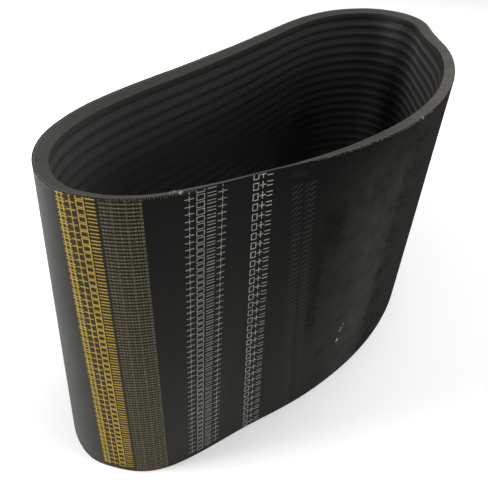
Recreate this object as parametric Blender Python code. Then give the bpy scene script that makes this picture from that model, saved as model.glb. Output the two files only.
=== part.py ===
"""An uncut sleeve of joined V belts, standing on one of its cut edges.

The sleeve is an endless wall of cured plies. From the outside in they are two cover plies,
the cushion rubber, the wound tensile cord, the adhesion rubber, and then one V strand for
each belt that the sleeve will be slit into. The loop is slack, so it stands as a long,
bent oval. Lengths are in metres, +Z is up, and the sleeve stands on Z = 0.
"""

import math

import bmesh
import bpy
from mathutils import Vector

# The sleeve as a whole.
SLEEVE_HEIGHT = 0.248
STRAND_COUNT = 24
STRAND_PITCH = 0.0103
EDGE_TRIM = (SLEEVE_HEIGHT - STRAND_COUNT * STRAND_PITCH) / 2

# The wall. A depth is measured inwards from the sleeve's outer face.
PLY_GAP = 0.0003
WALL_THICKNESS = 0.0100
CUT_SLOPE = math.tan(math.radians(21.8))  # the knife left the top edge lower on its inner side
FLANK_SLOPE = math.tan(math.radians(20.0))  # half of the V's 40 degrees
SAMPLES_PER_SPAN = 3
PLY_BANDS = 6

# Control points of the closed curve that the outer face follows at the top edge, and how far
# each one lies from there at the floor, because the slack wall leans a little as it stands.
LOOP_AT_TOP = (
    (-0.2620, 0.0355), (-0.2310, 0.0855), (-0.1520, 0.1065), (-0.0440, 0.0985),
    (0.0740, 0.0980), (0.1870, 0.1055), (0.2700, 0.0580), (0.2575, -0.0085),
    (0.2035, -0.0330), (0.1555, -0.0735), (0.0705, -0.1040), (-0.0280, -0.1095),
    (-0.1205, -0.0850), (-0.1635, -0.0555), (-0.2415, -0.0255), (-0.2560, 0.0140),
)
LEAN_AT_FLOOR = (
    (-0.0030, -0.0025), (-0.0050, 0.0005), (-0.0060, 0.0025), (-0.0065, 0.0040),
    (-0.0055, 0.0050), (-0.0045, 0.0055), (-0.0025, 0.0065), (0.0, 0.0075),
    (0.0085, -0.0120), (0.0045, 0.0090), (0.0060, 0.0090), (0.0060, 0.0090),
    (0.0045, 0.0065), (0.0015, 0.0010), (-0.0010, -0.0045), (-0.0020, -0.0050),
)

# The plies outside the V strands, from the outside in: node, thickness, colour, roughness.
PLIES = (
    ("outer_cover_ply", 0.0008, (0.020, 0.020, 0.021, 1.0), 0.62),
    ("inner_cover_ply", 0.0006, (0.060, 0.055, 0.048, 1.0), 0.85),
    ("cushion_rubber", 0.0010, (0.075, 0.070, 0.064, 1.0), 0.70),
    ("tensile_cord_winding", 0.0012, (0.300, 0.270, 0.210, 1.0), 0.80),
    ("adhesion_rubber", 0.0009, (0.085, 0.080, 0.074, 1.0), 0.70),
)
STRAND_COLOUR = (0.035, 0.034, 0.033, 1.0)
STRAND_ROUGHNESS = 0.58


def clear_scene():
    for old in list(bpy.data.objects):
        bpy.data.objects.remove(old, do_unlink=True)


def make_material(name, colour, roughness):
    material = bpy.data.materials.new(name)
    material.use_nodes = True
    shader = material.node_tree.nodes["Principled BSDF"]
    shader.inputs["Base Color"].default_value = colour
    shader.inputs["Roughness"].default_value = roughness
    shader.inputs["Metallic"].default_value = 0.0
    return material


def control_points(height):
    """The loop's control points at one height: the lean fades out from the floor to the top."""
    share = 1.0 - height / SLEEVE_HEIGHT
    return [
        Vector(point) + Vector(lean) * share
        for point, lean in zip(LOOP_AT_TOP, LEAN_AT_FLOOR)
    ]


def point_and_normal(place, height):
    """A point of the outer face and its inward normal. Place counts control points along the loop."""
    points = control_points(height)
    first = math.floor(place)
    t = place - first
    weights = (
        (1 - t) ** 3 / 6,
        (3 * t**3 - 6 * t**2 + 4) / 6,
        (-3 * t**3 + 3 * t**2 + 3 * t + 1) / 6,
        t**3 / 6,
    )
    slopes = (
        -((1 - t) ** 2) / 2,
        (3 * t**2 - 4 * t) / 2,
        (-3 * t**2 + 2 * t + 1) / 2,
        t**2 / 2,
    )
    near = [points[(first - 1 + k) % len(points)] for k in range(4)]
    point = sum((w * p for w, p in zip(weights, near)), Vector((0.0, 0.0)))
    along = sum((w * p for w, p in zip(slopes, near)), Vector((0.0, 0.0))).normalized()
    return point, Vector((along.y, -along.x))


def make_ring(name, profile, material):
    """A closed ring: the profile's (depth, height) corners carried once round the loop.

    Each side is split from its lower near corner to its upper far one, so that two rings
    that lie face to face bend along the same diagonals.
    """
    mesh = bpy.data.meshes.new(name)
    build = bmesh.new()
    count = len(LOOP_AT_TOP) * SAMPLES_PER_SPAN
    sections = []
    for step in range(count):
        section = []
        for depth, height in profile:
            point, inward = point_and_normal(step / SAMPLES_PER_SPAN, height)
            place = point + inward * depth
            section.append(build.verts.new((place.x, place.y, height)))
        sections.append(section)
    for here, ahead in zip(sections, sections[1:] + sections[:1]):
        for k in range(len(profile)):
            after = (k + 1) % len(profile)
            if profile[k][1] < profile[after][1]:
                build.faces.new((here[k], here[after], ahead[after]))
                build.faces.new((here[k], ahead[after], ahead[k]))
            else:
                build.faces.new((here[k], here[after], ahead[k]))
                build.faces.new((here[after], ahead[after], ahead[k]))
    bmesh.ops.recalc_face_normals(build, faces=build.faces)
    build.to_mesh(mesh)
    build.free()
    mesh.shade_smooth()
    mesh.set_sharp_from_angle(angle=math.radians(30))
    mesh.materials.append(material)
    ring = bpy.data.objects.new(name, mesh)
    bpy.context.scene.collection.objects.link(ring)
    return ring


def cut_height(depth):
    """Height of the top cut edge at this depth in the wall."""
    return SLEEVE_HEIGHT - CUT_SLOPE * depth


def make_plies():
    """The plies that cover the strands. Returns the depth at which the strands begin."""
    depth = 0.0
    for name, thickness, colour, roughness in PLIES:
        inner = depth + thickness
        shares = [band / PLY_BANDS for band in range(PLY_BANDS + 1)]
        profile = [(depth, cut_height(depth) * share) for share in shares]
        profile += [(inner, cut_height(inner) * share) for share in reversed(shares)]
        make_ring(name, profile, make_material(name, colour, roughness))
        depth = inner + PLY_GAP
    return depth


def make_strands(base_depth):
    """The V strands, numbered from the floor up. The end strands are cut flush with the sleeve."""
    half_base = (STRAND_PITCH - PLY_GAP) / 2
    half_tip = half_base - FLANK_SLOPE * (WALL_THICKNESS - base_depth)
    for number in range(1, STRAND_COUNT + 1):
        middle = EDGE_TRIM + STRAND_PITCH * (number - 0.5)
        low_base, low_tip = middle - half_base, middle - half_tip
        high_base, high_tip = middle + half_base, middle + half_tip
        if number == 1:
            low_base = low_tip = 0.0
        if number == STRAND_COUNT:
            high_base, high_tip = cut_height(base_depth), cut_height(WALL_THICKNESS)
        profile = (
            (base_depth, low_base),
            (base_depth, high_base),
            (WALL_THICKNESS, high_tip),
            (WALL_THICKNESS, low_tip),
        )
        name = f"v_strand_{number:02d}"
        make_ring(name, profile, make_material(name, STRAND_COLOUR, STRAND_ROUGHNESS))


clear_scene()
make_strands(make_plies())
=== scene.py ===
"""The looks of an uncut sleeve of joined V belts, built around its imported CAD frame.

Each CAD ply and strand is replaced by a finer ring that fills the same space. Printed marks,
frayed cloth and small flaws are thin pieces of their own. Lengths are in metres. A place on
the wall is given as (place, height, depth): place counts the loop's control points, height is
above the floor, and depth goes inwards from the outer face. An arc is a length along the
outer face from place 0, and it falls from left to right as the camera sees the front.
"""

import math

import bpy
import numpy as np
from mathutils import Matrix, Vector


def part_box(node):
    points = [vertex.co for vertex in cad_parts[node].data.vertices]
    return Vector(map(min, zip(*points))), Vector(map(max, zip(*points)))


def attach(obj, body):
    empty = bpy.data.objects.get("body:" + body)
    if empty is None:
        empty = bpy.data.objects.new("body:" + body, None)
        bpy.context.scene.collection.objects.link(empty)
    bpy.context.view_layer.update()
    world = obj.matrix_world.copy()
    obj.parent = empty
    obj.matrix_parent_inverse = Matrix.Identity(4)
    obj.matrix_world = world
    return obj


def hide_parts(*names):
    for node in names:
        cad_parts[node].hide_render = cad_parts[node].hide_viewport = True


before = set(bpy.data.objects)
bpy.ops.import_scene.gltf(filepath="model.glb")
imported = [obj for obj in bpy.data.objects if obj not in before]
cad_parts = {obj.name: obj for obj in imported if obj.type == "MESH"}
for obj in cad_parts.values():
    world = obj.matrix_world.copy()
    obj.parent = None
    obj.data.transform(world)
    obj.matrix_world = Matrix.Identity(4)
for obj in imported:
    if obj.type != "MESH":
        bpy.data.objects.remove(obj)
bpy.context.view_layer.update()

MM = 0.001
SLEEVE_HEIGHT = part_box("outer_cover_ply")[1].z
WALL_THICKNESS = 10.0 * MM
STRAND_COUNT = 24
STRAND_PITCH = 10.3 * MM
EDGE_TRIM = (SLEEVE_HEIGHT - STRAND_COUNT * STRAND_PITCH) / 2

# The curve of the outer face at the top edge, as in the CAD model, and its lean at the floor.
LOOP_AT_TOP = np.array((
    (-0.2620, 0.0355), (-0.2310, 0.0855), (-0.1520, 0.1065), (-0.0440, 0.0985),
    (0.0740, 0.0980), (0.1870, 0.1055), (0.2700, 0.0580), (0.2575, -0.0085),
    (0.2035, -0.0330), (0.1555, -0.0735), (0.0705, -0.1040), (-0.0280, -0.1095),
    (-0.1205, -0.0850), (-0.1635, -0.0555), (-0.2415, -0.0255), (-0.2560, 0.0140),
))
LEAN_AT_FLOOR = np.array((
    (-0.0030, -0.0025), (-0.0050, 0.0005), (-0.0060, 0.0025), (-0.0065, 0.0040),
    (-0.0055, 0.0050), (-0.0045, 0.0055), (-0.0025, 0.0065), (0.0, 0.0075),
    (0.0085, -0.0120), (0.0045, 0.0090), (0.0060, 0.0090), (0.0060, 0.0090),
    (0.0045, 0.0065), (0.0015, 0.0010), (-0.0010, -0.0045), (-0.0020, -0.0050),
))
# How steeply the hand-held knife cut the top edge at each control point.
CUT_SLOPES = np.array((
    0.17, 0.33, 0.40, 0.36, 0.32, 0.28, 0.33, 0.35,
    0.43, 0.06, 0.12, 0.05, 0.42, 0.62, 0.35, 0.43,
))
# How far the cut strays above or below the sleeve's height at each control point.
CUT_RISE = np.array((
    0.0, 0.0, 0.0, 0.0, 0.0, 0.0, 0.0, 0.0,
    0.0, 0.0, -1.6, 0.2, 1.5, -1.2, 1.0, 0.0,
)) * MM
SPANS = len(LOOP_AT_TOP)
AROUND = SPANS * 24

YELLOW_INK = (0.390, 0.265, 0.022)
YELLOW_WORN = (0.200, 0.130, 0.012)
GOLD_INK = (0.170, 0.152, 0.085)
GOLD_WORN = (0.075, 0.065, 0.033)
GREY_INK = (0.275, 0.275, 0.245)
GREY_WORN = (0.090, 0.090, 0.080)
WHITE_INK = (0.305, 0.305, 0.280)
YELLOW_HAZE = (0.0400, 0.0260, 0.0070)
GOLD_HAZE = (0.0350, 0.0290, 0.0165)
FRAY = (0.1500, 0.1450, 0.1150)
LINT = (0.4200, 0.4100, 0.3700)
RED_STAIN = (0.0230, 0.0150, 0.0140)
TORN = (0.1350, 0.1230, 0.0850)
GHOST_INK = (0.0118, 0.0118, 0.0096)
COVER_DARK = (0.0074, 0.0074, 0.0070)
COVER_DUST_AND_FLOOR_LIGHT = (0.0290, 0.0290, 0.0258)
COVER_PALE_AND_SHEEN = (0.0520, 0.0515, 0.0475)
COVER_CRUST = (0.0265, 0.0265, 0.0240)
COVER_SCUFF = (0.0056, 0.0056, 0.0050)
COVER_GRAIN = (0.0240, 0.0240, 0.0220)
COVER_SHINE = 0.045
CRUST_STRETCH = (0.42, 1.0, 1.0)  # the crust's lumps are longer round the loop than up the wall
CUT_GREY = (0.0375, 0.0370, 0.0318)
CUT_PALE_AND_LIGHT = (0.0625, 0.0545, 0.0490)
CUT_DARK_AND_SHADE = (0.0225, 0.0225, 0.0196)
RIB_BLACK = (0.0018, 0.0019, 0.0018)
RIB_PALE = (0.0820, 0.0832, 0.0785)
# Painted light and shade on the ribs along the loop, as (arc in metres, share of RIB_PALE).
RIB_LIGHT_ALONG_LOOP = (
    (0.000, 0.84), (0.080, 0.80), (0.140, 0.60), (0.250, 0.52), (0.330, 0.43), (0.460, 0.46),
    (0.510, 0.60), (0.540, 0.80), (0.572, 0.84), (0.597, 0.22), (0.612, 0.28), (0.640, 0.62),
    (0.720, 0.46), (0.900, 0.46), (1.110, 0.62), (1.200, 0.84),
)
RIB_SHINE = 0.10
FOCAL_SHARE = 600.0 / 488.0  # the camera's focal length as a share of the frame's width

# ---------------------------------------------------------------- the wall's shape


def spline(values, place, slope=False):
    """A closed cubic B-spline through numbers or points, or its slope, at many places."""
    place = np.asarray(place, float)
    first = np.floor(place).astype(int)
    t = place - first
    if slope:
        weights = (
            -((1 - t) ** 2) / 2,
            (3 * t**2 - 4 * t) / 2,
            (-3 * t**2 + 2 * t + 1) / 2,
            t**2 / 2,
        )
    else:
        weights = (
            (1 - t) ** 3 / 6,
            (3 * t**3 - 6 * t**2 + 4) / 6,
            (-3 * t**3 + 3 * t**2 + 3 * t + 1) / 6,
            t**3 / 6,
        )
    total = 0.0
    for k, weight in enumerate(weights):
        near = values[(first - 1 + k) % SPANS]
        total = total + (weight[..., None] * near if near.ndim > weight.ndim else weight * near)
    return total


def wall_points(place, height, depth):
    """Points of the wall, as an array whose last axis is x, y, z."""
    given = (np.asarray(value, float) for value in (place, height, depth))
    place, height, depth = np.broadcast_arrays(*given)
    lean = (1.0 - height / SLEEVE_HEIGHT)[..., None]
    point = spline(LOOP_AT_TOP, place) + spline(LEAN_AT_FLOOR, place) * lean
    along = spline(LOOP_AT_TOP, place, True) + spline(LEAN_AT_FLOOR, place, True) * lean
    along = along / np.linalg.norm(along, axis=-1, keepdims=True)
    inward = np.stack((along[..., 1], -along[..., 0]), axis=-1)
    flat = point + inward * depth[..., None]
    return np.concatenate((flat, height[..., None]), axis=-1)


def arc_table(height):
    """(places, arcs) along the outer face at one height."""
    places = np.linspace(0.0, SPANS, SPANS * 60 + 1)
    flat = wall_points(places, height, 0.0)
    steps = np.linalg.norm(np.diff(flat, axis=0), axis=1)
    return places, np.concatenate(((0.0,), np.cumsum(steps)))


PLACES, ARCS_AT_TOP = arc_table(SLEEVE_HEIGHT)
ARCS_AT_FLOOR = arc_table(0.0)[1]


def place_at(arc, height):
    """The place of a point that is an arc's length along the outer face, at that height."""
    share = np.asarray(height, float) / SLEEVE_HEIGHT
    at_top = np.interp(arc, ARCS_AT_TOP, PLACES)
    at_floor = np.interp(arc, ARCS_AT_FLOOR, PLACES)
    return at_top * share + at_floor * (1.0 - share)


def waves(place, seed, *pairs):
    """A smooth closed wobble: each pair is (turns round the loop, size)."""
    angle = np.asarray(place, float) / SPANS * 2 * math.pi
    total = 0.0
    for k, (turns, size) in enumerate(pairs):
        total = total + size * np.sin(angle * turns + seed * 1.7 + k * 2.4)
    return total


def jagged(arc, seed, spacing):
    """Random numbers from 0 to 1 along the loop, one every spacing, joined by straight lines."""
    count = round(ARCS_AT_TOP[-1] / spacing)
    values = np.random.default_rng(seed).random(count)
    return np.interp(arc / ARCS_AT_TOP[-1] * count, np.arange(count + 1), (*values, values[0]))


def window(value, low, high, soft):
    """1 between low and high, fading to 0 over a soft margin on both sides."""
    rise = np.clip((value - low) / soft, 0.0, 1.0)
    fall = np.clip((high - value) / soft, 0.0, 1.0)
    return rise * fall


def cut_height(place, depth):
    """Height of the top edge: lower on the inside, with the small waves of a hand-held knife."""
    wobble = waves(place, 1.0, (9, 0.10 * MM), (23, 0.06 * MM), (61, 0.03 * MM))
    level = SLEEVE_HEIGHT - 0.2 * MM + spline(CUT_RISE, place)
    return level - spline(CUT_SLOPES, place) * depth + wobble


# ---------------------------------------------------------------- mesh helpers


def mesh_object(name, points, faces, material, smooth=True, sharp=35.0):
    mesh = bpy.data.meshes.new(name)
    mesh.from_pydata(np.asarray(points).reshape(-1, 3).tolist(), [], faces)
    mesh.materials.append(material)
    if smooth:
        mesh.shade_smooth()
        mesh.set_sharp_from_angle(angle=math.radians(sharp))
    made = bpy.data.objects.new(name, mesh)
    bpy.context.scene.collection.objects.link(made)
    return made


def add_wall_map(made, arcs, heights):
    """Stores each corner's arc and height, in metres, for materials that follow the wall."""
    layer = made.data.uv_layers.new(name="wall")
    index = np.empty(len(made.data.loops), np.int32)
    made.data.loops.foreach_get("vertex_index", index)
    pairs = np.stack((arcs[index], heights[index]), axis=1)
    faces = np.repeat(
        np.arange(len(made.data.polygons)), [len(p.vertices) for p in made.data.polygons]
    )
    # A face over the seam has corners at both ends of the loop, so its low ones go round again.
    highest = np.full(len(made.data.polygons), -1.0)
    np.maximum.at(highest, faces, pairs[:, 0])
    low = pairs[:, 0] < highest[faces] - ARCS_AT_TOP[-1] / 2
    pairs[low, 0] += ARCS_AT_TOP[-1]
    layer.data.foreach_set("uv", pairs.astype(np.float32).ravel())


def make_ring(name, section, material, around=AROUND, sharp=35.0):
    """A closed ring. section(places) gives the depths and heights of its corners, in order."""
    places = np.arange(around) / around * SPANS
    depths, heights = section(places[:, None])
    depths, heights = np.broadcast_arrays(depths, heights)
    corners = depths.shape[1]
    points = wall_points(places[:, None], heights, depths)
    faces = []
    for here in range(around):
        ahead = (here + 1) % around
        for k in range(corners):
            after = (k + 1) % corners
            faces.append((
                here * corners + k, ahead * corners + k,
                ahead * corners + after, here * corners + after,
            ))
    made = mesh_object(name, points, faces, material, sharp=sharp)
    arcs = np.repeat(np.interp(places, PLACES, ARCS_AT_TOP), corners)
    add_wall_map(made, arcs, heights.ravel())
    return made


# ---------------------------------------------------------------- materials


class Nodes:
    """Short calls for building one material's node tree."""

    def __init__(self, name):
        self.material = bpy.data.materials.new(name)
        self.material.use_nodes = True
        self.tree = self.material.node_tree
        self.shader = self.tree.nodes["Principled BSDF"]

    def set(self, **values):
        for key, value in values.items():
            self.shader.inputs[key.replace("_", " ")].default_value = value

    def link(self, source, target):
        self.tree.links.new(source, target)

    def feed(self, key, source):
        self.link(source, self.shader.inputs[key])

    def coordinates(self, kind, scale=(1.0, 1.0, 1.0), turn=0.0):
        if kind == "wall":
            source = self.tree.nodes.new("ShaderNodeUVMap")
            source.uv_map = "wall"
            output = source.outputs["UV"]
        else:
            output = self.tree.nodes.new("ShaderNodeTexCoord").outputs[kind]
        mapping = self.tree.nodes.new("ShaderNodeMapping")
        mapping.inputs["Scale"].default_value = scale
        mapping.inputs["Rotation"].default_value = (0.0, 0.0, math.radians(turn))
        self.link(output, mapping.inputs["Vector"])
        return mapping.outputs["Vector"]

    def axis(self, vector, name):
        node = self.tree.nodes.new("ShaderNodeSeparateXYZ")
        self.link(vector, node.inputs["Vector"])
        return node.outputs[name]

    def noise(self, vector, scale, detail=3.0, roughness=0.55):
        node = self.tree.nodes.new("ShaderNodeTexNoise")
        node.inputs["Scale"].default_value = scale
        node.inputs["Detail"].default_value = detail
        node.inputs["Roughness"].default_value = roughness
        self.link(vector, node.inputs["Vector"])
        return node.outputs["Fac"]

    def waves(self, vector, scale, direction="X", distortion=0.0):
        node = self.tree.nodes.new("ShaderNodeTexWave")
        node.bands_direction = direction
        node.inputs["Scale"].default_value = scale
        node.inputs["Distortion"].default_value = distortion
        self.link(vector, node.inputs["Vector"])
        return node.outputs["Fac"]

    def ramp(self, factor, low, high, start=0.0, end=1.0):
        """Maps a factor between low and high to a number between start and end."""
        node = self.tree.nodes.new("ShaderNodeMapRange")
        for key, value in zip(("From Min", "From Max", "To Min", "To Max"), (low, high, start, end)):
            node.inputs[key].default_value = value
        self.link(factor, node.inputs["Value"])
        return node.outputs["Result"]

    def stops(self, value, table):
        """Maps a value to a number by straight lines between a table's (value, number) pairs."""
        last = table[-1][0]
        node = self.tree.nodes.new("ShaderNodeValToRGB")
        elements = node.color_ramp.elements
        elements.remove(elements[-1])
        for k, (place, level) in enumerate(table):
            stop = elements[0] if k == 0 else elements.new(place / last)
            stop.position = place / last
            stop.color = (level, level, level, 1.0)
        self.link(self.math("DIVIDE", value, last), node.inputs["Fac"])
        return node.outputs["Color"]

    def between(self, value, low, high, soft):
        """1 where the value is between low and high, fading to 0 over a soft margin outside."""
        rise = self.ramp(value, low - soft, low)
        return self.math("MULTIPLY", rise, self.ramp(value, high + soft, high))

    def math(self, operation, first, second):
        node = self.tree.nodes.new("ShaderNodeMath")
        node.operation = operation
        for socket, value in zip(node.inputs, (first, second)):
            if isinstance(value, (int, float)):
                socket.default_value = value
            else:
                self.link(value, socket)
        return node.outputs["Value"]

    def mix(self, factor, first, second):
        """A colour between two colours, each a tuple or another node's output."""
        node = self.tree.nodes.new("ShaderNodeMix")
        node.data_type = "RGBA"
        self.link(factor, node.inputs["Factor"])
        colours = [s for s in node.inputs if s.type == "RGBA"]
        for socket, value in zip(colours, (first, second)):
            if isinstance(value, tuple):
                socket.default_value = (*value, 1.0)
            else:
                self.link(value, socket)
        return next(s for s in node.outputs if s.type == "RGBA")

    def bump(self, height, strength, distance, below=None):
        node = self.tree.nodes.new("ShaderNodeBump")
        node.inputs["Strength"].default_value = strength
        node.inputs["Distance"].default_value = distance
        self.link(height, node.inputs["Height"])
        if below is not None:
            self.link(below, node.inputs["Normal"])
        return node.outputs["Normal"]


def rub(n, base, arc, height, clouds):
    """The stretch right of the print was rubbed: pale clouds, palest by the rough crust."""
    wide = n.between(arc, 0.780, 0.975, 0.040)
    wide = n.math("MULTIPLY", wide, n.ramp(height, 0.246, 0.200, 0.1, 0.5))
    narrow = n.between(arc, 0.917, 0.945, 0.028)
    narrow = n.math("MULTIPLY", narrow, n.ramp(height, 0.246, 0.215, 0.3, 0.6))
    pale = n.math("MULTIPLY", n.math("ADD", wide, narrow), n.ramp(clouds, 0.0, 0.8, 0.45, 1.0))
    base = n.mix(n.math("MULTIPLY", pale, 0.80), base, COVER_PALE_AND_SHEEN)
    # Smears cross the rubbed stretch at a slant.
    slanted = n.coordinates("wall", (0.5, 1.0, 1.0), 25.0)
    smears = n.ramp(n.noise(slanted, 85.0, 6.0, 0.70), 0.46, 0.62)
    smears = n.math("MULTIPLY", smears, n.between(arc, 0.800, 0.990, 0.025))
    return n.mix(n.math("MULTIPLY", smears, 0.30), base, COVER_DARK)


def ragged_noise(n):
    """The noise that gives the crust, the splotches and the stain their ragged outlines."""
    return n.noise(n.coordinates("wall", CRUST_STRETCH), 130.0, 7.0, 0.78)


def scuff(n, base, body, arc, height, low_down):
    """A rough crust on the far right and dark splotches. Returns the colour and the roughness mask."""
    strayed = n.math("MULTIPLY", n.math("SUBTRACT", ragged_noise(n), 0.5), 62.0 * MM)
    shifted = n.math("ADD", arc, strayed)
    edge = n.math("ADD", shifted, n.math("MULTIPLY", low_down, -11.0 * MM))
    crust = n.math("MULTIPLY", n.ramp(edge, 0.9120, 0.9085), n.ramp(edge, 0.760, 0.800))
    base = n.mix(n.math("MULTIPLY", crust, 0.80), base, COVER_CRUST)
    fine = n.noise(n.coordinates("wall", (0.70, 1.0, 1.0)), 165.0, 8.0, 0.80)
    coarse = n.noise(n.coordinates("wall", CRUST_STRETCH), 55.0, 5.0, 0.70)
    patches = n.math("MULTIPLY", n.ramp(fine, 0.46, 0.54), n.ramp(coarse, 0.42, 0.58, 0.25, 1.0))
    tail = n.between(shifted, 1.001, 1.008, 0.003)
    tail = n.math("MULTIPLY", tail, n.between(height, 0.095, 0.180, 0.015))
    head = n.between(shifted, 0.988, 1.006, 0.004)
    head = n.math("MULTIPLY", head, n.between(height, 0.172, 0.198, 0.008))
    splotches = n.math("MAXIMUM", tail, head)
    splotches = n.math("MULTIPLY", splotches, n.ramp(patches, 0.0, 1.0, 0.55, 1.0))
    near_edge = n.math("MULTIPLY", crust, n.ramp(edge, 0.860, 0.905, 0.45, 1.0))
    rough = n.math("MAXIMUM", n.math("MULTIPLY", near_edge, patches), splotches)
    crumbs = n.ramp(n.noise(body, 420.0, 4.0, 0.7), 0.42, 0.56, 0.50, 1.0)
    scuffs = n.math("MULTIPLY", rough, crumbs)
    return n.mix(n.math("MULTIPLY", scuffs, 0.80), base, COVER_SCUFF), scuffs


def stain(n, base, arc, height):
    """A faint red smear just under the top edge."""
    inside = n.between(arc, 1.029, 1.039, 0.004)
    inside = n.math("MULTIPLY", inside, n.between(height, 0.2392, 0.2408, 0.0012))
    return n.mix(n.math("MULTIPLY", inside, ragged_noise(n)), base, RED_STAIN)


def cover_material():
    """Rubberised canvas: nearly black, paler towards the floor with painted floor light and dust streaks,
    a painted sheen on the left end, and brushed and scuffed areas.
    """
    n = Nodes("cover_canvas")
    wall = n.coordinates("wall")
    body = n.coordinates("Object")
    arc = n.axis(wall, "X")
    height = n.axis(wall, "Y")
    low_down = n.ramp(height, SLEEVE_HEIGHT, 0.0)
    clouds = n.ramp(n.noise(body, 16.0, 4.0), 0.35, 0.70)
    streaks = n.ramp(n.noise(n.coordinates("wall", (70.0, 5.0, 1.0)), 1.0, 4.0), 0.30, 0.72)
    # Paler towards the floor: painted light from the floor beside the wall, with dust streaks on it.
    dust_and_floor_light = n.math("POWER", low_down, 1.25)
    dust_and_floor_light = n.math("MULTIPLY", dust_and_floor_light, n.math("ADD", n.math("MULTIPLY", streaks, 0.45), 0.75))
    base = n.mix(dust_and_floor_light, COVER_DARK, COVER_DUST_AND_FLOOR_LIGHT)
    # Thin ink lies between the marks of the two coloured columns, whose edges lean a little.
    leaned = n.math("ADD", arc, n.math("MULTIPLY", low_down, 3.6 * MM))
    for left, right, colour, strength in (
        (1.1920, 1.1672, YELLOW_HAZE, 0.80), (1.1660, 1.1402, GOLD_HAZE, 0.75),
    ):
        inside = n.math(
            "MULTIPLY", n.ramp(leaned, left, left - 0.8 * MM), n.ramp(leaned, right, right + 0.8 * MM)
        )
        thicker = n.ramp(low_down, 0.0, 1.0, 0.45 * strength, strength)
        base = n.mix(n.math("MULTIPLY", inside, thicker), base, colour)
    # Painted sheen: the left end is paler, standing in for the light that falls on it.
    left_end_sheen = n.math("MAXIMUM", n.ramp(arc, 1.150, 1.190), n.ramp(arc, 0.080, 0.040))
    base = n.mix(n.math("MULTIPLY", left_end_sheen, 0.45), base, COVER_PALE_AND_SHEEN)
    base = rub(n, base, arc, height, clouds)
    base, scuffs = scuff(n, base, body, arc, height, low_down)
    base = stain(n, base, arc, height)
    grain = n.ramp(n.noise(body, 1100.0, 2.0), 0.50, 0.85, 0.0, 0.35)
    n.feed("Base Color", n.mix(grain, base, COVER_GRAIN))
    n.feed("Roughness", n.ramp(clouds, 0.0, 1.0, 0.46, 0.56))
    # The face is a little glossy on the left, and matt where it was rubbed on the right.
    glossy = n.math("MAXIMUM", n.ramp(arc, 1.000, 1.150), n.ramp(arc, 0.750, 0.600))
    n.feed("Specular IOR Level", n.math("MULTIPLY", glossy, COVER_SHINE))
    weave = n.math(
        "MULTIPLY",
        n.waves(n.coordinates("wall", turn=45.0), 420.0, "X", 0.4),
        n.waves(n.coordinates("wall", turn=45.0), 420.0, "Y", 0.4),
    )
    cloth = n.bump(weave, 0.25, 0.05 * MM)
    pores = n.bump(n.noise(wall, 700.0, 4.0), 0.3, 0.06 * MM, cloth)
    worn = n.bump(scuffs, 0.5, 0.12 * MM, pores)
    ripple = n.noise(n.coordinates("wall", (60.0, 9.0, 1.0)), 1.0, 3.0)
    n.feed("Normal", n.bump(ripple, 0.5, 0.25 * MM, worn))
    return n.material


def cut_rubber_material(name, shade=1.0):
    """Rubber cut with a knife: matt warm grey with fine drag lines, painted light that makes the right end
    palest, and painted shade at the back and the front.
    """
    n = Nodes(name)
    body = n.coordinates("Object")
    arc = n.axis(n.coordinates("wall"), "X")
    mottle = n.ramp(n.noise(body, 45.0, 5.0), 0.35, 0.70, 0.0, 1.0)
    grain = n.ramp(n.noise(body, 1500.0, 3.0), 0.40, 0.75)
    # Painted light: the cut is palest at the right end.
    right_end_light = n.math("MULTIPLY", n.ramp(arc, 0.640, 0.760), n.ramp(arc, 0.960, 0.860))
    # Painted shade: the cut is darker along the back.
    back = n.math("MULTIPLY", n.ramp(arc, 0.060, 0.140), n.ramp(arc, 0.640, 0.520))
    base = n.mix(right_end_light, tuple(shade * c for c in CUT_GREY), tuple(shade * c for c in CUT_PALE_AND_LIGHT))
    base = n.mix(back, base, tuple(shade * c for c in CUT_DARK_AND_SHADE))
    # Painted shade: the cut is darker at the front, where the lamps light it more.
    front = n.between(arc, 0.950, 1.060, 0.035)
    base = n.mix(n.math("MULTIPLY", front, 0.80), base, CUT_DARK_AND_SHADE)
    base = n.mix(n.math("MULTIPLY", mottle, 0.45), base, CUT_DARK_AND_SHADE)
    smears = n.ramp(n.noise(n.coordinates("wall", (0.35, 1.0, 1.0)), 240.0, 5.0, 0.7), 0.45, 0.62)
    base = n.mix(n.math("MULTIPLY", smears, 0.30), base, CUT_DARK_AND_SHADE)
    n.feed("Base Color", n.mix(n.math("MULTIPLY", grain, 0.30), base, CUT_PALE_AND_LIGHT))
    n.feed("Roughness", n.ramp(mottle, 0.0, 1.0, 0.72, 0.86))
    n.set(Specular_IOR_Level=0.2)
    drag = n.bump(n.noise(n.coordinates("wall", (60.0, 2500.0, 1.0)), 1.0, 3.0), 0.4, 0.08 * MM)
    n.feed("Normal", n.bump(grain, 0.35, 0.06 * MM, drag))
    return n.material


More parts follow.
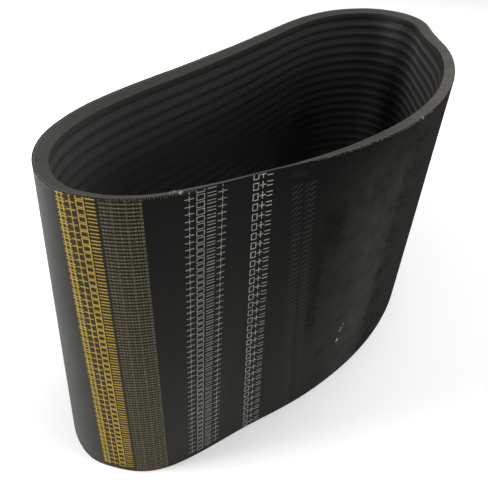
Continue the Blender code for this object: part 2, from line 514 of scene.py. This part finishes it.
def strand_material():
    """Moulded rubber of the ribs, with painted light: a painted highlight on the crests, painted shade
    down in the valleys and deep inside, and painted light and shade along the loop.
    """
    n = Nodes("strand_rubber")
    body = n.coordinates("Object")
    height = n.axis(n.coordinates("wall"), "Y")
    clouds = n.ramp(n.noise(body, 22.0, 5.0), 0.30, 0.72)
    # Painted highlight along each crest and painted shade in each valley.
    turns = n.math("MULTIPLY", n.math("SUBTRACT", height, EDGE_TRIM + 0.5 * MM), math.pi / STRAND_PITCH)
    crest_highlight = n.math("POWER", n.math("ABSOLUTE", n.math("SINE", turns, 0.0), 0.0), 5.0)
    crest_highlight = n.math("MULTIPLY", crest_highlight, n.ramp(clouds, 0.0, 1.0, 0.70, 1.0))
    # The top rib gets only a faint painted crest highlight.
    crest_highlight = n.math("MULTIPLY", crest_highlight, n.ramp(height, 0.2385, 0.2365, 0.15, 1.0))
    # Painted shade: the left and middle darken quickly with depth. The right end doesn't, and its valleys
    # get the darkest painted shade.
    arc = n.axis(n.coordinates("wall"), "X")
    corner = n.between(arc, 0.560, 0.900, 0.095)
    upper = n.ramp(height, 0.236, 0.182, 1.0, 0.40)
    depth = n.math("MULTIPLY", upper, n.ramp(height, 0.200, 0.125, 1.0, 0.28))
    far = n.math("MULTIPLY", n.ramp(height, 0.230, 0.140, 0.0, 0.85), n.ramp(arc, 0.545, 0.580))
    far = n.math("ADD", far, 1.0)
    depth = n.math("ADD", depth, n.math("MULTIPLY", corner, n.math("SUBTRACT", far, depth)))
    valley_shade = n.math("SUBTRACT", 0.66, n.math("MULTIPLY", corner, 0.36))
    height_tone = n.math("ADD", valley_shade, n.math("MULTIPLY", crest_highlight, n.math("SUBTRACT", 1.0, valley_shade)))
    level = n.math("MULTIPLY", n.math("MULTIPLY", n.stops(arc, RIB_LIGHT_ALONG_LOOP), depth), height_tone)
    n.feed("Base Color", n.mix(level, RIB_BLACK, RIB_PALE))
    n.feed("Roughness", n.ramp(clouds, 0.0, 1.0, 0.50, 0.60))
    n.set(Specular_IOR_Level=RIB_SHINE)
    lines = n.bump(n.noise(n.coordinates("wall", (25.0, 900.0, 1.0)), 1.0, 3.0), 0.25, 0.08 * MM)
    n.feed("Normal", n.bump(n.noise(body, 800.0, 3.0), 0.2, 0.05 * MM, lines))
    return n.material


def ink_material(name, colour, worn, coverage=0.5):
    """Printed ink: patchy where it took badly, so that the dark cover shows through."""
    n = Nodes(name)
    body = n.coordinates("Object")
    patches = n.ramp(n.noise(body, 420.0, 4.0, 0.65), coverage - 0.12, coverage + 0.16)
    fade = n.ramp(n.noise(body, 40.0, 3.0), 0.35, 0.70, 0.0, 0.55)
    wear = n.math("MAXIMUM", n.math("MULTIPLY", patches, 0.8), fade)
    n.feed("Base Color", n.mix(wear, colour, worn))
    n.feed("Roughness", n.ramp(patches, 0.0, 1.0, 0.50, 0.70))
    n.set(Specular_IOR_Level=0.3)
    n.feed("Normal", n.bump(patches, 0.3, 0.04 * MM))
    return n.material


def thread_material(name, colour):
    """Frayed cotton thread and torn canvas."""
    n = Nodes(name)
    body = n.coordinates("Object")
    fibre = n.ramp(n.noise(body, 1400.0, 4.0), 0.35, 0.75)
    n.feed("Base Color", n.mix(fibre, tuple(0.6 * c for c in colour), colour))
    n.set(Roughness=0.9, Specular_IOR_Level=0.2)
    n.feed("Normal", n.bump(fibre, 0.6, 0.1 * MM))
    return n.material


# ---------------------------------------------------------------- the wall


def make_cover(material):
    """The printed outer ply. Its top edge is softly worn, and torn back on the right."""
    share = np.linspace(0.0, 1.0, 14)[None, :]

    def section(places):
        arcs = np.interp(places, PLACES, ARCS_AT_TOP)
        torn = jagged(arcs, 5, 1.9 * MM) ** 1.5 * (0.35 + 0.65 * jagged(arcs, 6, 12 * MM))
        torn = torn * window(places, 10.30, 12.55, 0.35) * 2.0 * MM
        top = cut_height(places, 0.0) - torn - 0.10 * MM * jagged(arcs, 7, 3 * MM)
        bulge = waves(places, 3.0, (5, 0.10 * MM), (13, 0.06 * MM), (29, 0.03 * MM))
        face_depths = 0.12 * MM + bulge * np.sin(share * math.pi)
        edge_depths = np.array((0.17, 0.32, 0.55))[None, :] * MM + 0.0 * places
        edge_heights = top - np.array((0.12, 0.03, 0.10))[None, :] * MM
        inner_depth = 0.88 * MM + 0.0 * places
        inner_top = cut_height(places, 0.9 * MM) - torn - 0.05 * MM
        return (
            np.concatenate((face_depths, edge_depths, inner_depth, inner_depth), axis=1),
            np.concatenate((share * (top - 0.35 * MM), edge_heights, inner_top, 0.0 * places), axis=1),
        )

    cover = make_ring("cover_wall", section, material, around=AROUND * 5)
    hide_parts("outer_cover_ply")
    return cover


def make_ply(name, node, low, high, sink, material):
    """A ply between two depths. Its cut face is sunk a little below its neighbours'."""

    def section(places):
        inset = 0.12 * MM
        texture = waves(places, low * 4000, (47, 0.02 * MM), (113, 0.02 * MM))
        depths = np.array((low, low, low + inset, high - inset, high, high))[None, :] + 0.0 * places
        sinks = np.array((0.06 * MM, 0.0, 0.0, 0.06 * MM))[None, :] + sink + texture
        tops = cut_height(places, depths[:, 1:5]) - sinks
        return depths, np.concatenate((0.0 * places, tops, 0.0 * places), axis=1)

    ply = make_ring(name, section, material)
    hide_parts(node)
    return ply


def make_strand(number, material):
    """One V strand: its crown is a shallow round rib, and it meets its neighbours in a valley."""
    low = EDGE_TRIM + STRAND_PITCH * (number - 1) + 0.02 * MM
    high = low + STRAND_PITCH - 0.04 * MM
    base_depth = 5.92 * MM
    valley_depth = 9.20 * MM
    crown_size = WALL_THICKNESS - 0.05 * MM - valley_depth
    across = np.linspace(0.0, 1.0, 13)[None, :]

    def section(places):
        sway = waves(places, number * 0.9, (3, 0.20 * MM), (8, 0.10 * MM), (21, 0.04 * MM))
        size = 1.0 + waves(places, number * 1.3, (2, 0.04), (7, 0.03), (17, 0.02))
        reach = 1.0 + 0.0 * places
        if number == STRAND_COUNT:
            for _ in range(3):
                top = cut_height(places, valley_depth + crown_size * np.sin(reach * math.pi))
                reach = (top - low) / (high - low)
        crown = np.sin(across * reach * math.pi)
        depths = valley_depth + crown_size * crown * size
        heights = low + (high - low) * across * reach
        if number == 1:
            heights = np.maximum(heights - EDGE_TRIM * (1.0 - across), 0.0)
        elif number < STRAND_COUNT:
            heights = heights + sway * crown
        base = base_depth + 0.0 * places
        base_top = high + 0.0 * places
        if number == STRAND_COUNT:
            base_top = cut_height(places, base_depth)
        return (
            np.concatenate((base, depths, base), axis=1),
            np.concatenate((heights[:, :1], heights, base_top), axis=1),
        )

    strand = make_ring(f"strand_{number:02d}", section, material)
    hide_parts(f"v_strand_{number:02d}")
    return strand


# ---------------------------------------------------------------- printed marks

# Plain shapes in a unit cell, each a list of strokes. None of them is a letter or a number, and
# the columns don't follow the letters of any print.
SHAPES = {
    "plus": (((0.0, 0.5), (1.0, 0.5)), ((0.5, 0.05), (0.5, 0.95))),
    "square": (((0.05, 0.0), (0.95, 0.0), (0.95, 0.9), (0.05, 0.9), (0.05, 0.0)),),
    "two_bars": (((0.0, 0.25), (1.0, 0.25)), ((0.0, 0.8), (1.0, 0.8))),
    "slashes": (((0.0, 0.0), (0.5, 1.0)), ((0.5, 0.0), (1.0, 1.0))),
    "grid": (
        ((0.25, 0.0), (0.25, 1.0)), ((0.8, 0.0), (0.8, 1.0)),
        ((0.0, 0.3), (1.0, 0.3)), ((0.0, 0.75), (1.0, 0.75)),
    ),
}


def clip_to_edge(start, end, ceiling):
    """The part of a stroke, as (arc, height) ends, that lies below the ceiling."""
    if start[1] > end[1]:
        start, end = end, start
    if start[1] >= ceiling:
        return None
    if end[1] > ceiling:
        share = (ceiling - start[1]) / (end[1] - start[1])
        end = (start[0] + (end[0] - start[0]) * share, ceiling)
    return start, end


def stroke_corners(start, end, width):
    """The four (arc, height) corners of a straight stroke with square ends."""
    run = np.subtract(end, start)
    length = math.hypot(*run)
    if length < 1e-6:
        return None
    side = np.array((-run[1], run[0])) / length * width / 2
    lead = run / length * width * 0.35
    return [start - lead + side, start - lead - side, end + lead - side, end + lead + side]


def stamp(name, strokes, material, proud):
    """One object of many flat strokes that lie on the outer face and stand proud by a hair."""
    flat = np.array(strokes).reshape(-1, 2)
    flat[:, 1] = np.clip(flat[:, 1], 0.15 * MM, SLEEVE_HEIGHT - 0.9 * MM)
    places = place_at(flat[:, 0], flat[:, 1])
    tops = wall_points(places, flat[:, 1], -proud)
    feet = wall_points(places, flat[:, 1], 0.2 * MM)
    points = np.concatenate((tops, feet))
    under = len(flat)
    faces = []
    for k in range(0, under, 4):
        a, b, c, d = range(k, k + 4)
        faces.append((a, b, c, d))
        faces.append((d + under, c + under, b + under, a + under))
        for one, two in ((a, b), (b, c), (c, d), (d, a)):
            faces.append((two, one, one + under, two + under))
    made = mesh_object(name, points, faces, material, smooth=False)
    return made


def column_strokes(cells, left_arcs, right_arcs, pitch, mark_height, width, seed, first_row=0.55):
    """Rows of marks down a column of the wall.

    cells lists (shape, left, right) in shares of the column's width. left_arcs and right_arcs
    are the column's edges at the top and at the floor, in mm.
    """
    random = np.random.default_rng(seed)
    strokes = []
    for row in range(int(SLEEVE_HEIGHT / pitch) + 1):
        bottom = SLEEVE_HEIGHT - pitch * (row + first_row) + random.normal(0.0, 0.05 * MM)
        if bottom < 0.3 * MM:
            continue
        share = bottom / SLEEVE_HEIGHT
        left = (left_arcs[0] * share + left_arcs[1] * (1 - share)) * MM
        right = (right_arcs[0] * share + right_arcs[1] * (1 - share)) * MM
        for shape, low, high in cells:
            for line in SHAPES[shape]:
                ends = [
                    (left + (right - left) * (low + (high - low) * x), bottom + mark_height * y)
                    for x, y in line
                ]
                for start, end in zip(ends, ends[1:]):
                    kept = clip_to_edge(start, end, SLEEVE_HEIGHT - 1.2 * MM)
                    corners = kept and stroke_corners(
                        np.array(kept[0]), np.array(kept[1]), width * random.uniform(0.85, 1.15)
                    )
                    if corners is not None:
                        strokes.append(corners)
    return strokes


def evenly(shapes, gap):
    """Cells of equal width with a gap between them."""
    step = 1.0 / len(shapes)
    return [
        (shape, (k + gap / 2) * step, (k + 1 - gap / 2) * step)
        for k, shape in enumerate(shapes)
    ]


def make_marks():
    """Four printed columns, from left to right, and a ghost of a fifth that was wiped off."""
    word = column_strokes(
        (
            ("grid", 0.00, 0.22), ("plus", 0.27, 0.48),
            ("square", 0.53, 0.74), ("two_bars", 0.79, 1.00),
        ),
        (1191.8, 1188.1), (1167.4, 1164.0), 5.12 * MM, 4.35 * MM, 0.78 * MM, 11,
    )
    line = column_strokes(
        evenly((
            "plus", "two_bars", "plus", "square", "plus", "two_bars", "plus",
            "square", "plus", "two_bars", "plus", "square",
        ), 0.26),
        (1165.4, 1162.0), (1140.5, 1137.0), 2.56 * MM, 1.08 * MM, 0.36 * MM, 12,
    )
    size = column_strokes(
        (
            ("plus", 0.02, 0.22), ("square", 0.28, 0.48),
            ("two_bars", 0.54, 0.74), ("plus", 0.80, 1.00),
        ),
        (1115.9, 1119.5), (1087.3, 1091.5), 5.12 * MM, 4.0 * MM, 0.52 * MM, 13,
    )
    lot = column_strokes(
        (
            ("square", 0.00, 0.28), ("plus", 0.36, 0.64), ("two_bars", 0.72, 1.00),
        ),
        (1068.7, 1066.0), (1054.8, 1050.2), 7.55 * MM, 5.2 * MM, 0.62 * MM, 14,
    )
    ghost = column_strokes(
        (("slashes", 0.00, 0.42), ("slashes", 0.58, 1.00)),
        (1040.0, 1024.0), (1022.0, 1006.0), 4.40 * MM, 2.5 * MM, 0.45 * MM, 15, 4.0,
    )
    inks = (
        ("yellow", word, YELLOW_INK, YELLOW_WORN, 0.53, 0.10),
        ("gold", line, GOLD_INK, GOLD_WORN, 0.50, 0.06),
        ("grey", size, GREY_INK, GREY_WORN, 0.50, 0.06),
        ("white", lot, WHITE_INK, GREY_WORN, 0.55, 0.06),
        ("ghost", ghost, GHOST_INK, COVER_DUST_AND_FLOOR_LIGHT, 0.45, 0.03),
    )
    marks = []
    for name, strokes, colour, worn, coverage, proud in inks:
        ink = ink_material(f"ink_{name}", colour, worn, coverage)
        marks.append(stamp(f"marks_{name}", strokes, ink, proud * MM))
    return marks


# ---------------------------------------------------------------- frayed cloth and flaws


def along_edge(arcs, drop, depth=0.0):
    """Points by the top edge: drop is how far below the cut they lie."""
    places = np.interp(np.asarray(arcs) % ARCS_AT_TOP[-1], ARCS_AT_TOP, PLACES)
    return wall_points(places, cut_height(places, max(depth, 0.0)) - drop, depth)


def make_threads(name, paths, radius, material):
    """One object of thin five-sided tubes, one for each path of points."""
    sides = 5
    points, faces = [], []
    for path in paths:
        path = np.asarray(path, float)
        first = len(points)
        for k, centre in enumerate(path):
            run = path[min(k + 1, len(path) - 1)] - path[max(k - 1, 0)]
            run = run / np.linalg.norm(run)
            side = np.cross(run, (0.31, 0.17, 0.93))
            side = side / np.linalg.norm(side)
            other = np.cross(run, side)
            size = radius * (0.55 if k == len(path) - 1 else 1.0)
            for turn in np.arange(sides) / sides * 2 * math.pi:
                points.append(centre + size * (math.cos(turn) * side + math.sin(turn) * other))
        for k in range(len(path) - 1):
            for a in range(sides):
                b = (a + 1) % sides
                low, high = first + k * sides, first + (k + 1) * sides
                faces.append((low + a, low + b, high + b, high + a))
        faces.append(tuple(first + a for a in reversed(range(sides))))
        faces.append(tuple(first + (len(path) - 1) * sides + a for a in range(sides)))
    made = mesh_object(name, points, faces, material)
    return made


def curled(start, end, sag, random, count=6):
    """A path from start to end that wanders sideways by about sag."""
    share = np.linspace(0.0, 1.0, count)[:, None]
    swing = random.normal(0.0, 1.0, 3) * sag
    kink = random.normal(0.0, 0.35, (count, 3)) * sag
    kink[0] = 0.0
    return start + (end - start) * share + swing * np.sin(share * math.pi) + kink


def make_frays():
    """Thread ends under the front of the cut, a row of them on the left, and torn fuzz on the right."""
    random = np.random.default_rng(21)
    fray = thread_material("fray", FRAY)
    lint = thread_material("lint", LINT)
    ends = []
    for arc in np.arange(1108.5, 1160.0, 1.25) * MM:
        arc = arc + random.normal(0.0, 0.15 * MM)
        drop = np.array((0.15 * MM, random.uniform(1.1, 2.6) * MM))
        ends.append(along_edge(arc + np.array((0.0, random.normal(0.0, 0.1 * MM))), drop, -0.02 * MM))
    dots = []
    for arc in np.arange(1187.5, 1216.0, 2.05) * MM:
        arc = arc + random.normal(0.0, 0.2 * MM)
        dots.append(along_edge(np.array((arc, arc + 0.45 * MM)), np.array((0.9, 1.25)) * MM, -0.02 * MM))
    fuzz = []
    for arc in random.uniform(885.0, 1022.0, 210) * MM:
        start = along_edge(arc, random.uniform(0.1, 0.9) * MM, 0.35 * MM)
        end = along_edge(arc + random.normal(0.0, 0.7 * MM), random.uniform(0.2, 1.7) * MM, -0.25 * MM)
        fuzz.append(curled(start, end, 0.12 * MM, random, 4))
    wisps = []
    for arc in random.uniform(1116.5, 1124.5, 9) * MM:
        start = along_edge(arc, 0.0, 1.2 * MM)
        end = along_edge(arc + random.normal(0.0, 1.2 * MM), -random.uniform(0.6, 2.2) * MM, 2.0 * MM)
        wisps.append(curled(start, end, 0.35 * MM, random))
    tufts = []
    for arc, size in ((1117.6, 1.0), (1116.9, 0.8), (1118.4, 0.8), (906.2, 0.9), (905.4, 0.8), (5.7, 0.5)):
        for _ in range(7):
            start = along_edge(arc * MM, 0.3 * MM, 0.2 * MM)
            end = start + random.normal(0.0, 0.55, 3) * size * MM
            tufts.append(curled(start, end, 0.25 * MM, random, 5))
    return [
        make_threads("thread_ends", ends, 0.20 * MM, fray),
        make_threads("thread_dots", dots, 0.24 * MM, lint),
        make_threads("torn_fuzz", fuzz, 0.14 * MM, thread_material("torn", TORN)),
        make_threads("wisps", wisps, 0.07 * MM, lint),
        make_threads("tufts", tufts, 0.16 * MM, lint),
    ]


def make_flaws():
    """A chip with a scratch above it low on the right, and a crease in the cut."""
    def stroke(start, end, width):
        return stroke_corners(np.array(start) * MM, np.array(end) * MM, width * MM)

    nicks = [
        stroke((965.4, 49.1), (964.3, 51.1), 1.5),
        stroke((964.6, 49.1), (965.3, 50.6), 0.9),
        stroke((964.0, 60.0), (961.6, 64.4), 0.45),
        stroke((960.7, 66.0), (959.6, 68.0), 0.35),
    ]
    # The crease is two thin dark tubes on the cut: they stand a hair proud, and their dark colour is
    # painted shade of the fold.
    crease = []
    for arc in (838.6 * MM, 839.0 * MM):
        depths = np.linspace(0.4, 9.4, 7) * MM
        crease.append(np.array([
            along_edge(arc - depth * 0.6 + 0.25 * MM * math.sin(depth * 900), -0.02 * MM, depth)
            for depth in depths
        ]))
    bare = ink_material("bare_cloth", LINT, WHITE_INK, 0.6)
    dark = thread_material("crease", CUT_DARK_AND_SHADE)
    return [
        stamp("nicks", nicks, bare, 0.05 * MM),
        make_threads("cut_crease", crease, 0.10 * MM, dark),
    ]


# ---------------------------------------------------------------- the stage


def make_stage():
    mesh = bpy.data.meshes.new("floor")
    reach = 6.0
    mesh.from_pydata(
        [(-reach, -reach, 0.0), (reach, -reach, 0.0), (reach, reach, 0.0), (-reach, reach, 0.0)],
        [], [(0, 1, 2, 3)],
    )
    floor = bpy.data.objects.new("floor", mesh)
    floor.location.z = -0.0002
    n = Nodes("floor_paint")
    n.set(Base_Color=(0.88, 0.88, 0.88, 1.0), Roughness=0.9, Specular_IOR_Level=0.1)
    mesh.materials.append(n.material)
    bpy.context.scene.collection.objects.link(floor)


def make_light(name, place, aim, size, power, colour=(1.0, 1.0, 1.0)):
    data = bpy.data.lights.new(name, "AREA")
    data.shape = "RECTANGLE"
    data.size, data.size_y = size
    data.energy = power
    data.color = colour
    light = bpy.data.objects.new(name, data)
    light.location = place
    light.rotation_euler = (Vector(aim) - Vector(place)).to_track_quat("-Z", "Y").to_euler()
    bpy.context.scene.collection.objects.link(light)


def make_lights():
    world = bpy.data.worlds.new("studio")
    world.use_nodes = True
    sky = world.node_tree.nodes["Background"]
    sky.inputs["Color"].default_value = (1.0, 1.0, 1.0, 1.0)
    sky.inputs["Strength"].default_value = 0.30
    bpy.context.scene.world = world
    make_light("key", (-1.15, 1.40, 0.85), (-0.1, 0.0, 0.10), (1.2, 1.2), 66.0)
    make_light("top", (0.65, -0.75, 2.0), (0.0, 0.0, 0.1), (1.8, 1.8), 54.0)


def make_camera():
    """The photograph's view: from the narrow end's side, looking down, rolled a little."""
    heading, pitch, roll = math.radians(58.26), math.radians(35.403), math.radians(3.412)
    forward = Vector((
        math.sin(heading) * math.cos(pitch), math.cos(heading) * math.cos(pitch), -math.sin(pitch),
    ))
    level = Vector((math.cos(heading), -math.sin(heading), 0.0))
    upright = level.cross(forward)
    right = level * math.cos(roll) + upright * math.sin(roll)
    up = upright * math.cos(roll) - level * math.sin(roll)
    data = bpy.data.cameras.new("camera")
    data.sensor_width = 36.0
    data.lens = data.sensor_width * FOCAL_SHARE
    data.clip_start = 0.01
    camera = bpy.data.objects.new("camera", data)
    camera.matrix_world = Matrix((right, up, -forward)).transposed().to_4x4()
    camera.location = (-0.4476, -0.2194, 0.4238)
    bpy.context.scene.collection.objects.link(camera)
    bpy.context.scene.camera = camera


def make_sleeve():
    cut = cut_rubber_material("cut_rubber")
    cord = cut_rubber_material("cut_cord", 1.12)
    canvas = thread_material("raw_canvas", (0.088, 0.084, 0.066))
    # The plies under the cover: name, CAD node, slot, near and far depth and sink in mm, material.
    plies = (
        ("canvas_ply", "inner_cover_ply", "cover_canvas_raw", 0.90, 1.80, 0.05, canvas),
        ("cushion_ply", "cushion_rubber", "cushion_rubber", 1.81, 3.10, 0.0, cut),
        ("cord_ply", "tensile_cord_winding", "tensile_cord", 3.11, 4.60, 0.03, cord),
        ("adhesion_ply", "adhesion_rubber", "adhesion_rubber", 4.61, 5.90, 0.0, cut),
    )
    pieces = [make_cover(cover_material())]
    for name, node, slot, low, high, sink, material in plies:
        pieces.append(make_ply(name, node, low * MM, high * MM, sink * MM, material))
    rib = strand_material()
    pieces += [make_strand(number, rib) for number in range(1, STRAND_COUNT + 1)]
    pieces[-1].data.materials.append(cut)
    paint_cut_face(pieces[-1])
    return pieces


def paint_cut_face(strand):
    """The top strand's slanted top was cut, not moulded, so it takes the second material."""
    for face in strand.data.polygons:
        lowest = min(strand.data.vertices[v].co.z for v in face.vertices)
        if face.normal.z > 0.75 and lowest > SLEEVE_HEIGHT - 9.0 * MM:
            face.material_index = 1


make_camera()
make_stage()
make_lights()
for piece in make_sleeve() + make_marks() + make_frays() + make_flaws():
    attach(piece, "root")

scene = bpy.context.scene
scene.view_settings.view_transform = "Standard"
